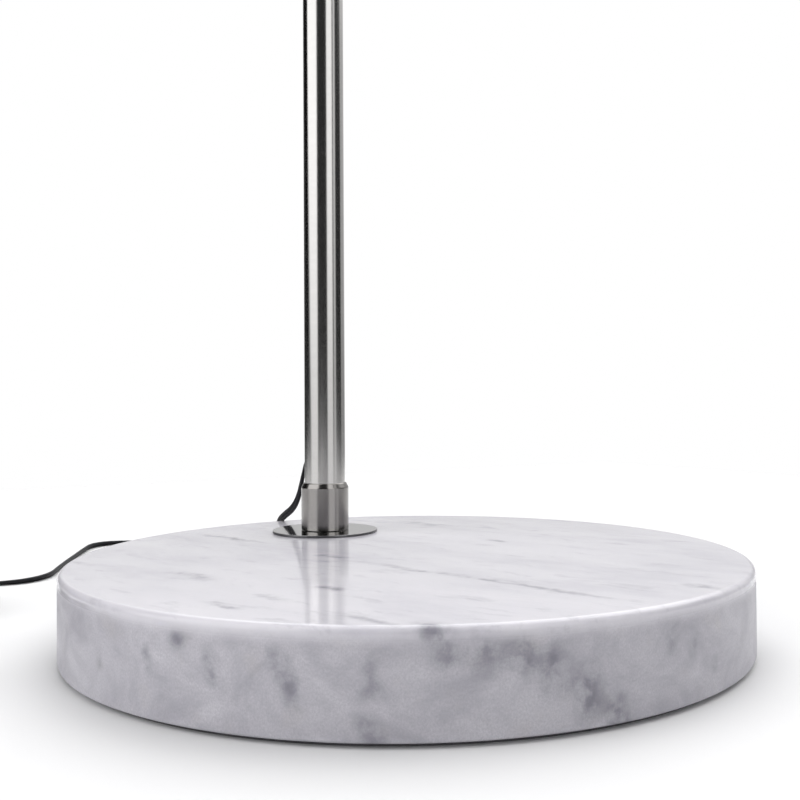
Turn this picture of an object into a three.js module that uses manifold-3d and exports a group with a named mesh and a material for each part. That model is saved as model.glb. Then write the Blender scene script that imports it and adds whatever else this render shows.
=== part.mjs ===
// Arc floor lamp: a round marble base, a straight pole, a swivelling arc and a tilting dome shade.
// Millimetres, +Z up. The origin is the centre of the base's underside, on the floor.
// +X runs from the pole through the base's centre, which is the way the arc reaches at rest.

import * as THREE from "three";
import { mergeVertices } from "three/addons/utils/BufferGeometryUtils.js";
import Module from "manifold-3d";

const wasm = await Module();
wasm.setup();

// ---------------------------------------------------------------- driving dimensions

const GAP = 0.3; // between pieces that touch

const BASE_RADIUS = 175;
const BASE_TOP = 43.4;
const BASE_TOP_FILLET = 3;
const BASE_FOOT_CHAMFER = 1.2;
const PAD_RADIUS = 171;
const PAD_THICKNESS = 1.5;

const POLE_X = -104;
const POLE_RADIUS = 12.5;
const TUBE_BORE = 11;
const COUPLER_RADIUS = 10;
const COUPLER_BORE = 6;
const POLE_TOP = 1200;
const POLE_SEAM = 622;
const POLE_COUPLER_HALF = 40;

const PLATE_RADIUS = 32.25;
const PLATE_THICKNESS = 1.2;
const FERRULE_RADIUS = 14.6;
const FERRULE_BORE = 12.8;
const FERRULE_TOP = 74.2;
const FERRULE_CHAMFER = 3.2;
const COLLAR_HEIGHT = 28;

const BOLT_RADIUS = 4.9;
const BOLT_HOLE = 6.5;
const COUNTERBORE_RADIUS = 23;
const COUNTERBORE_TOP = 19;

const CORD_HOLE_Z = 92;
const CORD_WIDTH = 4.8;
const CORD_THICKNESS = 2.4;
const WIRE_RADIUS = 2.2;

const ARM_STRAIGHT = 50;
const ARM_RADIUS = 560;
const ARM_SWEEP = THREE.MathUtils.degToRad(125);
const ARM_LENGTH = ARM_STRAIGHT + ARM_RADIUS * ARM_SWEEP;
const ARM_COUPLER_HALF = 18;
const SPIGOT_DEPTH = 58;
const SPIGOT_RISE = 40;

const PIVOT_REACH = 30; // from the arm's end to the shade's pivot
const KNUCKLE_RADIUS = 11;
const KNUCKLE_HALF_WIDTH = 8;

const SHADE_RADIUS = 150;
const SHADE_HEIGHT = 142;
const SHADE_RIM_DROP = 225; // from the pivot to the rim
const SHADE_WALL = 1.4;
const SHADE_HOLE = 20.2;

const SWITCH_CENTRE = new THREE.Vector2(-209, -214);
const SWITCH_LENGTH = 84;
const SWITCH_WIDTH = 46;
const SWITCH_SEAM = 6;
const SWITCH_TOP = 22;
const SWITCH_WALL = 2.5;
const BUTTON_RADIUS = 12.3;
const BUTTON_TOP = 25.5;

const COIL_CENTRE = new THREE.Vector2(-118, -241.5);
const COIL_INNER = 21;
const COIL_OUTER = 34;
const COIL_HEIGHT = 10;

const PLUG_ANGLE = THREE.MathUtils.degToRad(-20);
const PLUG_AXIS_Z = 6.9;
const PLUG_THICKNESS = 13.6;
const PLUG_PIN_PITCH = 18.6;

// The cord's route on the floor and over the base's rim, from the pole to the foot switch.
const LEAD_ROUTE = [
  [-118.8, 0, 92.2], [-123.8, 0, 91.2], [-128.4, 0, 88.4], [-132.6, 0, 83.8], [-136.2, 0, 77.8],
  [-139.6, 0, 71], [-143.2, 0, 64], [-148.4, 0, 57.8], [-156, 0, 52.6], [-166, 0, 48.2],
  [-175.6, 0.4, 43.6], [-184.2, 1.8, 36.6], [-191.8, 4.4, 27.6], [-200, 8, 18], [-210.4, 11.4, 9.4],
  [-225, 15.4, 3.4], [-246, 20.6, 1.4], [-282, 27.6, 1.3], [-324, 31, 1.3], [-366, 27, 1.3],
  [-401, 13.6, 1.3], [-424.2, -9, 1.3], [-434.2, -36.8, 1.3], [-432.4, -56.4, 1.3], [-420.8, -70.8, 1.3],
  [-398.4, -82, 1.3], [-364.6, -96.4, 1.3], [-334, -109.6, 1.3], [-308, -120.2, 1.3],
  [-292.4, -126.9, 1.3], [-280.4, -137.2, 1.3], [-275.2, -149.6, 1.3], [-276.8, -162, 1.3],
  [-281, -175.6, 1.3], [-281.4, -189, 1.7], [-275, -201.2, 2.8], [-264.4, -210, 4.4],
  [-251.4, -214, 6],
];
const TAIL_ROUTE = [
  [-166.6, -214, 6], [-158, -214, 5.2], [-149.5, -214, 4.2], [-142.6, -214, 3.8],
];
const PLUG_LEAD_ROUTE = [
  [-88.6, -218.6, 4.6], [-81.6, -221.2, 5.6], [-68.4, -226, 6.9],
];

// ---------------------------------------------------------------- finishes

function finish(color, roughness, metalness) {
  return new THREE.MeshStandardMaterial({ color, roughness, metalness });
}

const FINISH = {
  marble: finish(0xdedde3, 0.2, 0),
  nickel: finish(0x9c9893, 0.32, 1),
  polished: finish(0xc4c4c6, 0.08, 1),
  zinc: finish(0xa9aba8, 0.45, 1),
  brass: finish(0xc39a4c, 0.35, 1),
  felt: finish(0x2a2a2c, 0.95, 0),
  rubber: finish(0x1b1b1d, 0.6, 0),
  flex: finish(0x1d1d20, 0.5, 0),
  plastic: finish(0x202023, 0.45, 0),
  opal: finish(0xf4f1ea, 0.25, 0),
};

// ---------------------------------------------------------------- shape helpers

/** Turns a closed profile of [radius, height] points about the Z axis. */
function turned(profile, sides = 24) {
  const points = profile.map(([radius, height]) => new THREE.Vector2(radius, height));
  return new THREE.LatheGeometry(points, sides).rotateX(Math.PI / 2);
}

/** A plain ring or sleeve between two radii and two heights. */
function sleeve(inner, outer, bottom, top, sides = 24) {
  const profile = [[inner, bottom], [outer, bottom], [outer, top], [inner, top], [inner, bottom]];
  return turned(profile, sides);
}

/** A plain solid rod about the Z axis. */
function rod(radius, bottom, top, sides = 24) {
  return turned([[0, bottom], [radius, bottom], [radius, top], [0, top]], sides);
}

/** Lays a shape that was made about Z down so that its axis points along +Y. */
function alongY(geometry) {
  return geometry.rotateX(-Math.PI / 2);
}

/** Lays a shape that was made about Z down so that its axis points along -X. */
function alongMinusX(geometry) {
  return geometry.rotateY(-Math.PI / 2);
}

/** Points of a quarter ellipse about the Z axis, from one fraction of the quarter to another. */
function quarterEllipse(radius, height, centreZ, from, to, count) {
  const points = [];
  for (let i = 0; i <= count; i += 1) {
    const angle = (Math.PI / 2) * (from + ((to - from) * i) / count);
    points.push([radius * Math.cos(angle), centreZ + height * Math.sin(angle)]);
  }
  return points;
}

/** A closed outline made round by a regular polygon. */
function roundOutline(width, height, sides) {
  const shape = new THREE.Shape();
  for (let i = 0; i < sides; i += 1) {
    const angle = (2 * Math.PI * i) / sides;
    const x = (height / 2) * Math.cos(angle);
    const y = (width / 2) * Math.sin(angle);
    if (i === 0) shape.moveTo(x, y);
    else shape.lineTo(x, y);
  }
  shape.closePath();
  return shape;
}

/** A solid bar of the outline's section along a curve. */
function bar(outline, path, steps) {
  return new THREE.ExtrudeGeometry(outline, { steps, extrudePath: path, bevelEnabled: false });
}

/** A tube of one outer and one inner radius along a curve. */
function tube(outer, inner, path, steps, sides) {
  const outline = roundOutline(2 * outer, 2 * outer, sides);
  outline.holes.push(new THREE.Path(roundOutline(2 * inner, 2 * inner, sides).getPoints()));
  return bar(outline, path, steps);
}

/** A smooth curve through a list of [x, y, z] points. */
function route(points) {
  return new THREE.CatmullRomCurve3(points.map((p) => new THREE.Vector3(...p)), false, "centripetal");
}

/** A rectangle with round corners, centred on the Z axis, between two heights. */
function roundedBlock(length, width, corner, bottom, top) {
  const x = length / 2;
  const y = width / 2;
  const shape = new THREE.Shape();
  shape.moveTo(-x + corner, -y);
  shape.lineTo(x - corner, -y);
  shape.absarc(x - corner, -y + corner, corner, -Math.PI / 2, 0, false);
  shape.lineTo(x, y - corner);
  shape.absarc(x - corner, y - corner, corner, 0, Math.PI / 2, false);
  shape.lineTo(-x + corner, y);
  shape.absarc(-x + corner, y - corner, corner, Math.PI / 2, Math.PI, false);
  shape.lineTo(-x, -y + corner);
  shape.absarc(-x + corner, -y + corner, corner, Math.PI, 1.5 * Math.PI, false);
  const settings = { depth: top - bottom, bevelEnabled: false, curveSegments: 4 };
  return new THREE.ExtrudeGeometry(shape, settings).translate(0, 0, bottom);
}

// ---------------------------------------------------------------- joining and cutting

/** Turns a closed geometry into a solid that can be joined and cut. */
function solidOf(geometry) {
  const source = geometry.clone();
  source.deleteAttribute("normal");
  source.deleteAttribute("uv");
  const merged = mergeVertices(source, 1e-4);
  const corners = merged.index.array;
  const kept = [];
  for (let i = 0; i < corners.length; i += 3) {
    const [a, b, c] = [corners[i], corners[i + 1], corners[i + 2]];
    if (a !== b && b !== c && c !== a) kept.push(a, b, c);
  }
  const mesh = new wasm.Mesh({
    numProp: 3,
    vertProperties: new Float32Array(merged.attributes.position.array),
    triVerts: new Uint32Array(kept),
  });
  return new wasm.Manifold(mesh);
}

function geometryOf(solid) {
  const mesh = solid.getMesh();
  const geometry = new THREE.BufferGeometry();
  geometry.setAttribute("position", new THREE.BufferAttribute(mesh.vertProperties, 3));
  geometry.setIndex(new THREE.BufferAttribute(mesh.triVerts, 1));
  return geometry;
}

/** The first geometry joined to all the others. */
function join(first, ...others) {
  return geometryOf(others.reduce((whole, other) => whole.add(solidOf(other)), solidOf(first)));
}

/** The first geometry with all the others cut out of it. */
function cut(first, ...tools) {
  return geometryOf(tools.reduce((rest, tool) => rest.subtract(solidOf(tool)), solidOf(first)));
}

// ---------------------------------------------------------------- the arm's centreline

/** The arm's centreline above the pole's top: straight at first, then one round arc. */
class ArmLine extends THREE.Curve {
  constructor(from, to) {
    super();
    this.from = from;
    this.to = to;
  }

  getPoint(t) {
    const along = this.from + (this.to - this.from) * t;
    if (along <= ARM_STRAIGHT) return new THREE.Vector3(POLE_X, 0, POLE_TOP + along);
    const angle = Math.min((along - ARM_STRAIGHT) / ARM_RADIUS, ARM_SWEEP);
    const beyond = Math.max(along - ARM_LENGTH, 0);
    return new THREE.Vector3(
      POLE_X + ARM_RADIUS * (1 - Math.cos(angle)) + beyond * Math.sin(angle),
      0,
      POLE_TOP + ARM_STRAIGHT + ARM_RADIUS * Math.sin(angle) + beyond * Math.cos(angle),
    );
  }
}

const ARM_END = new ArmLine(0, ARM_LENGTH).getPoint(1);
const PIVOT = new ArmLine(0, ARM_LENGTH + PIVOT_REACH).getPoint(1);

// ---------------------------------------------------------------- assembly helpers

const lamp = new THREE.Group();

function place(name, geometry, material, position = [0, 0, 0], parent = lamp) {
  const mesh = new THREE.Mesh(geometry, material);
  mesh.name = name;
  mesh.position.set(...position);
  parent.add(mesh);
  return mesh;
}

const ON_POLE = [POLE_X, 0, 0];

// ---------------------------------------------------------------- the base

function makeBase() {
  const foot = PAD_THICKNESS + GAP;
  const fillet = quarterEllipse(BASE_TOP_FILLET, BASE_TOP_FILLET, BASE_TOP - BASE_TOP_FILLET, 0, 1, 4)
    .map(([radius, height]) => [radius + BASE_RADIUS - BASE_TOP_FILLET, height]);
  const slab = turned([
    [0, foot],
    [BASE_RADIUS - BASE_FOOT_CHAMFER, foot],
    [BASE_RADIUS, foot + BASE_FOOT_CHAMFER],
    ...fillet,
    [0, BASE_TOP],
  ], 48);
  const boltHole = rod(BOLT_HOLE, -1, BASE_TOP + 1).translate(POLE_X, 0, 0);
  const counterbore = rod(COUNTERBORE_RADIUS, -1, COUNTERBORE_TOP).translate(POLE_X, 0, 0);
  place("marble_base", cut(slab, boltHole, counterbore), FINISH.marble);

  const pad = rod(PAD_RADIUS, 0, PAD_THICKNESS, 40);
  const padHole = rod(COUNTERBORE_RADIUS + 1, -1, PAD_THICKNESS + 1).translate(POLE_X, 0, 0);
  place("felt_pad", cut(pad, padHole), FINISH.felt);

  const plateBottom = BASE_TOP + GAP;
  const plateTop = plateBottom + PLATE_THICKNESS;
  const plate = turned([
    [BOLT_HOLE, plateBottom],
    [PLATE_RADIUS, plateBottom],
    [PLATE_RADIUS, plateTop - 0.4],
    [PLATE_RADIUS - 0.4, plateTop],
    [BOLT_HOLE, plateTop],
    [BOLT_HOLE, plateBottom],
  ], 32);
  place("cover_plate", plate, FINISH.polished, ON_POLE);
  return plateTop + GAP;
}

/** The bolt that clamps the pole down through the marble, with its washers. */
function makeBaseFastening(poleFoot) {
  const headHeight = 6.4;
  const headBottom = 6.5;
  const washerBore = BOLT_RADIUS + 0.5;
  const springBottom = headBottom + headHeight + GAP;
  const springTop = springBottom + 2.2;
  const insertBottom = poleFoot + 0.8;
  const insertTop = insertBottom + 30;

  const head = rod(9.8, headBottom, headBottom + headHeight, 6);
  const shank = rod(BOLT_RADIUS, headBottom + 1, insertTop - 4, 16);
  place("base_bolt", join(head, shank), FINISH.zinc, ON_POLE);

  const split = new THREE.BoxGeometry(8, 1.6, 6).translate(8, 0, springBottom + 1);
  const spring = cut(sleeve(washerBore, 9, springBottom, springTop), split);
  place("spring_washer", spring, FINISH.zinc, ON_POLE);

  const washer = sleeve(washerBore, 20, springTop + GAP, COUNTERBORE_TOP - GAP);
  place("clamp_washer", washer, FINISH.zinc, ON_POLE);

  const insert = sleeve(BOLT_RADIUS + GAP, COUPLER_RADIUS, insertBottom, insertTop);
  place("pole_insert", insert, FINISH.zinc, ON_POLE);
}

// ---------------------------------------------------------------- the pole

/** A turned sleeve with a sloping shoulder at its top. */
function shoulderedSleeve(bottom, top) {
  return turned([
    [FERRULE_BORE, bottom],
    [FERRULE_RADIUS, bottom],
    [FERRULE_RADIUS, top - FERRULE_CHAMFER],
    [FERRULE_BORE, top],
    [FERRULE_BORE, bottom],
  ], 24);
}

function makePole(poleFoot) {
  place("ferrule", shoulderedSleeve(poleFoot, FERRULE_TOP), FINISH.nickel, ON_POLE);

  const cordHole = alongMinusX(rod(4.2, 6, 16, 16)).translate(0, 0, CORD_HOLE_Z);
  const lower = cut(sleeve(TUBE_BORE, POLE_RADIUS, poleFoot, POLE_SEAM), cordHole);
  place("pole_lower", lower, FINISH.nickel, ON_POLE);

  const grommet = turned([
    [2.8, 10.4],
    [3.9, 10.4],
    [3.9, POLE_RADIUS + GAP],
    [5.6, POLE_RADIUS + GAP],
    [5.6, POLE_RADIUS + 1.2],
    [4.6, POLE_RADIUS + 1.9],
    [2.8, POLE_RADIUS + 1.9],
    [2.8, 10.4],
  ], 16);
  place("cord_grommet", alongMinusX(grommet), FINISH.rubber, [POLE_X, 0, CORD_HOLE_Z]);

  const couplerEnds = [POLE_SEAM - POLE_COUPLER_HALF, POLE_SEAM + POLE_COUPLER_HALF];
  place("pole_coupler", sleeve(COUPLER_BORE, COUPLER_RADIUS, ...couplerEnds), FINISH.zinc, ON_POLE);

  const screwZ = POLE_TOP - COLLAR_HEIGHT / 2 - 2;
  const screwHole = alongMinusX(rod(3, 6, 20, 16)).translate(0, 0, screwZ);
  const upper = cut(sleeve(TUBE_BORE, POLE_RADIUS, POLE_SEAM + GAP, POLE_TOP), screwHole);
  place("pole_upper", upper, FINISH.nickel, ON_POLE);

  const collar = cut(shoulderedSleeve(POLE_TOP - COLLAR_HEIGHT - 2, POLE_TOP - 2), screwHole);
  place("swivel_collar", collar, FINISH.nickel, ON_POLE);

  const knobFrom = FERRULE_RADIUS + 2.4;
  const knobTo = knobFrom + 10;
  const screw = turned([
    [0, COUPLER_RADIUS + 0.8],
    [2.4, COUPLER_RADIUS + 0.8],
    [2.4, knobFrom],
    [7.6, knobFrom],
    [8.5, knobFrom + 0.9],
    [8.5, knobTo - 0.9],
    [7.6, knobTo],
    [0, knobTo],
  ], 20);
  place("clamp_screw", alongMinusX(screw), FINISH.nickel, [POLE_X, 0, screwZ]);

  const bendTop = CORD_HOLE_Z + 26;
  const bend = route([
    [-14, 0, CORD_HOLE_Z],
    [-9, 0, CORD_HOLE_Z],
    [-3.6, 0, CORD_HOLE_Z + 4],
    [-0.6, 0, CORD_HOLE_Z + 14],
    [0, 0, bendTop],
  ]);
  const riser = rod(WIRE_RADIUS, bendTop - 1, POLE_TOP - SPIGOT_DEPTH - 4, 8);
  const entry = bar(roundOutline(2 * WIRE_RADIUS, 2 * WIRE_RADIUS, 8), bend, 10);
  place("pole_wire", join(riser, entry), FINISH.flex, ON_POLE);
}

// ---------------------------------------------------------------- the arc

function makeArc() {
  const spigot = sleeve(COUPLER_BORE, COUPLER_RADIUS, POLE_TOP - SPIGOT_DEPTH, POLE_TOP + SPIGOT_RISE);
  place("arc_spigot", spigot, FINISH.zinc, ON_POLE);

  const sections = ["arc_lower", "arc_middle", "arc_upper"];
  const sectionLength = ARM_LENGTH / sections.length;
  sections.forEach((name, i) => {
    const line = new ArmLine(i * sectionLength + GAP, (i + 1) * sectionLength);
    place(name, tube(POLE_RADIUS, TUBE_BORE, line, 10, 16), FINISH.nickel);
  });

  ["arc_coupler_lower", "arc_coupler_upper"].forEach((name, i) => {
    const seam = (i + 1) * sectionLength;
    const line = new ArmLine(seam - ARM_COUPLER_HALF, seam + ARM_COUPLER_HALF);
    place(name, tube(COUPLER_RADIUS, COUPLER_BORE, line, 2, 12), FINISH.zinc);
  });

  const wireLine = new ArmLine(3 - SPIGOT_DEPTH, ARM_LENGTH + 6);
  place("arc_wire", bar(roundOutline(2 * WIRE_RADIUS, 2 * WIRE_RADIUS, 6), wireLine, 32), FINISH.flex);

  const arcEnd = new THREE.Group();
  arcEnd.position.copy(ARM_END);
  arcEnd.rotation.y = ARM_SWEEP;
  lamp.add(arcEnd);
  const endSleeve = sleeve(13.4, FERRULE_RADIUS, -18, 0, 24);
  place("arc_end_ferrule", endSleeve, FINISH.nickel, [0, 0, 0], arcEnd);
  place("knuckle_upper", makeUpperKnuckle(), FINISH.nickel, [0, 0, 0], arcEnd);
}

/** The half of the shade's swivel that plugs into the arm's end: its plug, neck and round cheek. */
function makeUpperKnuckle() {
  const neck = turned([
    [0, 14],
    [4, 14],
    [4, -16],
    [10.2, -16],
    [10.2, GAP],
    [FERRULE_RADIUS, GAP],
    [FERRULE_RADIUS, 3],
    [7, 8],
    [7, PIVOT_REACH - 6],
    [0, PIVOT_REACH - 6],
  ], 24);
  const cheek = alongY(rod(KNUCKLE_RADIUS, 0.2, KNUCKLE_HALF_WIDTH)).translate(0, 0, PIVOT_REACH);
  const otherCheek = alongY(rod(KNUCKLE_RADIUS + 0.8, -14, 0.2)).translate(0, 0, PIVOT_REACH);
  const screwHole = alongY(rod(3.4, -20, 20, 16)).translate(0, 0, PIVOT_REACH);
  return cut(join(neck, cheek), otherCheek, screwHole);
}

/** The screw and the knob that pinch the two cheeks of the shade's swivel. */
function makeTiltScrew() {
  const screw = turned([
    [0, -16.5],
    [3, -16.5],
    [3, KNUCKLE_HALF_WIDTH + GAP],
    [6, KNUCKLE_HALF_WIDTH + GAP],
    [6, 10.4],
    [5, 11.4],
    [0, 11.4],
  ], 16);
  place("knuckle_screw", alongY(screw), FINISH.zinc, PIVOT.toArray());

  const near = -KNUCKLE_HALF_WIDTH - GAP;
  const far = near - 10;
  const knob = turned([
    [0, far],
    [8, far],
    [9, far + 1],
    [9, near - 1],
    [8, near],
    [3.5, near],
    [3.5, -17.2],
    [0, -17.2],
  ], 20);
  place("tilt_knob", alongY(knob), FINISH.nickel, PIVOT.toArray());
}

// ---------------------------------------------------------------- the head: swivel, socket, shade and bulb

function makeHead() {
  const head = new THREE.Group();
  head.position.copy(PIVOT);
  lamp.add(head);
  const add = (name, geometry, material) => place(name, geometry, material, [0, 0, 0], head);

  const stem = turned([[0, -18], [5.4, -18], [5.4, -31], [7.5, -31], [7.5, -7], [0, -7]]);
  const cheek = alongY(rod(KNUCKLE_RADIUS, -KNUCKLE_HALF_WIDTH, -0.2));
  const otherCheek = alongY(rod(KNUCKLE_RADIUS + 0.8, -0.2, 14));
  const screwHole = alongY(rod(3.4, -20, 20, 16));
  add("knuckle_lower", cut(join(stem, cheek), otherCheek, screwHole), FINISH.nickel);

  add("threaded_nipple", sleeve(3, 5, -44, -19, 16), FINISH.zinc);
  const nut = cut(rod(8.4, -40, -36.6, 6), rod(5.4, -60, -20, 16));
  add("lock_nut", nut, FINISH.zinc);
  add("head_wire", rod(WIRE_RADIUS, -47, -19.5, 8), FINISH.flex);

  add("socket_cup", turned([
    [21.5, -84],
    [23, -84],
    [23, -36.5],
    [22, -34.6],
    [20.2, -34],
    [5.4, -34],
    [5.4, -36],
    [19.6, -36],
    [21.5, -38],
    [21.5, -84],
  ], 24), FINISH.nickel);

  add("lampholder", turned([
    [14.9, -98],
    [19.4, -98],
    [19.4, -43],
    [17.4, -41],
    [5.4, -41],
    [5.4, -47],
    [14.9, -47],
    [14.9, -98],
  ], 20), FINISH.plastic);

  add("lampholder_shell", turned([
    [0, -50.8],
    [13.8, -50.8],
    [13.8, -92],
    [14.5, -92],
    [14.5, -50],
    [0, -50],
  ]), FINISH.brass);

  const holeFraction = 1 - (2 / Math.PI) * Math.asin(SHADE_HOLE / SHADE_RADIUS);
  const steps = 8;
  const rimZ = -SHADE_RIM_DROP;
  const outside = quarterEllipse(SHADE_RADIUS, SHADE_HEIGHT, rimZ, 0, holeFraction, steps);
  const inside = quarterEllipse(
    SHADE_RADIUS - SHADE_WALL, SHADE_HEIGHT - SHADE_WALL, rimZ, 0, holeFraction, steps,
  );
  inside.reverse();
  add("dome_shade", turned([...outside, ...inside, outside[0]], 32), FINISH.nickel);
  add("retaining_ring", sleeve(20, 25, -92.4, -87, 24), FINISH.plastic);

  add("bulb_cap", turned([
    [0, -86],
    [13.1, -86],
    [13.1, -60],
    [9, -57.5],
    [4.5, -56.5],
    [4.5, -53],
    [0, -53],
  ], 20), FINISH.zinc);

  const outerBulb = [
    [0, -172], [12, -170], [23.6, -161.6], [29.6, -147], [29.6, -134],
    [24.6, -119.5], [14.8, -101], [13.4, -95], [13.4, -86.3],
  ];
  const innerBulb = [
    [12, -86.3], [12, -95], [13.2, -101.6], [23, -120.2], [28, -134.4],
    [28, -146.6], [22.4, -160.4], [11.4, -168.4], [0, -170.4],
  ];
  add("bulb_glass", turned([...outerBulb, ...innerBulb], 20), FINISH.opal);
}

// ---------------------------------------------------------------- the mains cord and what is on it

/** A length of the flat cord. Its outline is given so that the cord lies on its wide side. */
function cordBar(outline, points, steps) {
  return bar(outline, route(points), steps);
}

function makeFootSwitch() {
  const footSwitch = new THREE.Group();
  footSwitch.position.set(SWITCH_CENTRE.x, SWITCH_CENTRE.y, 0);
  lamp.add(footSwitch);
  const add = (name, geometry, material) => place(name, geometry, material, [0, 0, 0], footSwitch);

  const corner = SWITCH_WIDTH / 2 - 1;
  const inner = [SWITCH_LENGTH - 2 * SWITCH_WALL, SWITCH_WIDTH - 2 * SWITCH_WALL, corner - SWITCH_WALL];
  const channel = new THREE.BoxGeometry(SWITCH_LENGTH + 4, CORD_WIDTH + 1, CORD_THICKNESS + 1)
    .translate(0, 0, SWITCH_SEAM);

  const tray = roundedBlock(SWITCH_LENGTH, SWITCH_WIDTH, corner, 0, SWITCH_SEAM);
  const trayHollow = roundedBlock(...inner, SWITCH_WALL, SWITCH_SEAM + 1);
  add("switch_base", cut(tray, trayHollow, channel), FINISH.plastic);

  const ceiling = SWITCH_TOP - SWITCH_WALL;
  const cover = join(
    roundedBlock(SWITCH_LENGTH, SWITCH_WIDTH, corner, SWITCH_SEAM + GAP, SWITCH_TOP - 6),
    roundedBlock(SWITCH_LENGTH - 10, SWITCH_WIDTH - 8, corner - 4, SWITCH_TOP - 7, SWITCH_TOP),
  );
  const coverHollow = roundedBlock(
    SWITCH_LENGTH - 14, SWITCH_WIDTH - 12, corner - 6, SWITCH_SEAM - 1, ceiling,
  );
  const buttonHole = rod(BUTTON_RADIUS + 0.6, ceiling - 2, SWITCH_TOP + 2);
  add("switch_cover", cut(cover, coverHollow, buttonHole, channel), FINISH.plastic);

  const flange = BUTTON_RADIUS + 2.2;
  const springPocket = 8;
  const pocketTop = 22;
  const button = turned([
    [0, pocketTop],
    [springPocket, pocketTop],
    [springPocket, ceiling - 3.5],
    [flange, ceiling - 3.5],
    [flange, ceiling - GAP],
    [BUTTON_RADIUS, ceiling - GAP],
    [BUTTON_RADIUS, BUTTON_TOP - 1.4],
    [BUTTON_RADIUS - 1.6, BUTTON_TOP - 0.3],
    [BUTTON_RADIUS / 2, BUTTON_TOP],
    [0, BUTTON_TOP],
  ], 24);
  add("switch_button", button, FINISH.plastic);

  const block = roundedBlock(34, 22, 3, 8.4, 12);
  add("switch_contacts", block, FINISH.zinc);

  const springBottom = 12.3 + 0.6;
  const springRise = pocketTop - GAP - 0.7 - springBottom;
  class SpringLine extends THREE.Curve {
    getPoint(t) {
      const angle = 2 * Math.PI * 4 * t;
      return new THREE.Vector3(5.6 * Math.cos(angle), 5.6 * Math.sin(angle), springBottom + springRise * t);
    }
  }
  add("switch_spring", bar(roundOutline(1, 1, 6), new SpringLine(), 32), FINISH.zinc);
}

function makePlug() {
  const plug = new THREE.Group();
  const start = PLUG_LEAD_ROUTE.at(-1);
  plug.position.set(start[0], start[1], PLUG_AXIS_Z);
  plug.rotation.z = PLUG_ANGLE;
  lamp.add(plug);

  const neckEnd = 20;
  const bodyEnd = 50;
  const outline = new THREE.Shape();
  outline.moveTo(GAP, -3.6);
  outline.lineTo(neckEnd, -6.4);
  outline.lineTo(neckEnd + 9, -17.6);
  outline.lineTo(bodyEnd, -17.6);
  outline.lineTo(bodyEnd, 17.6);
  outline.lineTo(neckEnd + 9, 17.6);
  outline.lineTo(neckEnd, 6.4);
  outline.lineTo(GAP, 3.6);
  const settings = { depth: PLUG_THICKNESS, bevelEnabled: false };
  const body = new THREE.ExtrudeGeometry(outline, settings).translate(0, 0, -PLUG_THICKNESS / 2);
  place("plug_body", body, FINISH.plastic, [0, 0, 0], plug);

  for (const side of [1, -1]) {
    const pin = turned([[0, 0], [2, 0], [2, 17], [1.3, 18.6], [0, 19]], 12).rotateY(Math.PI / 2);
    const position = [bodyEnd + GAP, (side * PLUG_PIN_PITCH) / 2, 0];
    place(side > 0 ? "plug_pin_left" : "plug_pin_right", pin, FINISH.polished, position, plug);
  }
}

function makeCord() {
  const wideAcross = roundOutline(CORD_THICKNESS, CORD_WIDTH, 8);
  const wideOnEdge = roundOutline(CORD_WIDTH, CORD_THICKNESS, 8);
  place("cord_lead", cordBar(wideAcross, LEAD_ROUTE, 64), FINISH.flex);
  place("cord_tail", cordBar(wideAcross, TAIL_ROUTE, 3), FINISH.flex);
  place("cord_plug_lead", cordBar(wideOnEdge, PLUG_LEAD_ROUTE, 3), FINISH.flex);

  const coilBottom = 1;
  const coil = sleeve(COIL_INNER, COIL_OUTER, coilBottom, COIL_HEIGHT, 24);
  place("cord_coil", coil, FINISH.flex, [COIL_CENTRE.x, COIL_CENTRE.y, 0]);

  const bandTop = COIL_HEIGHT + 1;
  const band = new THREE.BoxGeometry(16.6, 9, bandTop).translate(0, 0, bandTop / 2);
  const bandHole = new THREE.BoxGeometry(15, 12, bandTop - 1.2).translate(0, 0, bandTop / 2);
  const middle = (COIL_INNER + COIL_OUTER) / 2;
  const tie = cut(band, bandHole);
  place("cord_tie", tie, FINISH.felt, [COIL_CENTRE.x, COIL_CENTRE.y - middle, 0]).rotation.z = Math.PI / 2;
}

// ---------------------------------------------------------------- the whole lamp

const poleFoot = makeBase();
makeBaseFastening(poleFoot);
makePole(poleFoot);
makeArc();
makeTiltScrew();
makeHead();
makeCord();
makeFootSwitch();
makePlug();

export default lamp;
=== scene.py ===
import math

import bmesh
import bpy
import numpy as np
from mathutils import Matrix, Vector


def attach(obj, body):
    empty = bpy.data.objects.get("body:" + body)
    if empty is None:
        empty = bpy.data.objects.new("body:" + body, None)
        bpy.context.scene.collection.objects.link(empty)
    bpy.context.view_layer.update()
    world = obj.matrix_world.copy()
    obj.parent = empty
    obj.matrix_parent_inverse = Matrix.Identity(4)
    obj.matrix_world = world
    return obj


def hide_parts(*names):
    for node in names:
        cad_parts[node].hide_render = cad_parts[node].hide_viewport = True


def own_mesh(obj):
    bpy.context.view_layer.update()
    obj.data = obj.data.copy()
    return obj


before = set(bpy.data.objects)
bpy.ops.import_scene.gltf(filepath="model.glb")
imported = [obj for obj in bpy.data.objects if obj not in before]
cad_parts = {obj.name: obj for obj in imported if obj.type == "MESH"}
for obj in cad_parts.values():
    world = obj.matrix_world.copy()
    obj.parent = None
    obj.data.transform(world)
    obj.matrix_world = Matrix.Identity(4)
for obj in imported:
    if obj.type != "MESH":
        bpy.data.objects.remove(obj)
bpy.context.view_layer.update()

MM = 0.001

# ---- dimensions, in millimetres unless they say otherwise

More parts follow.
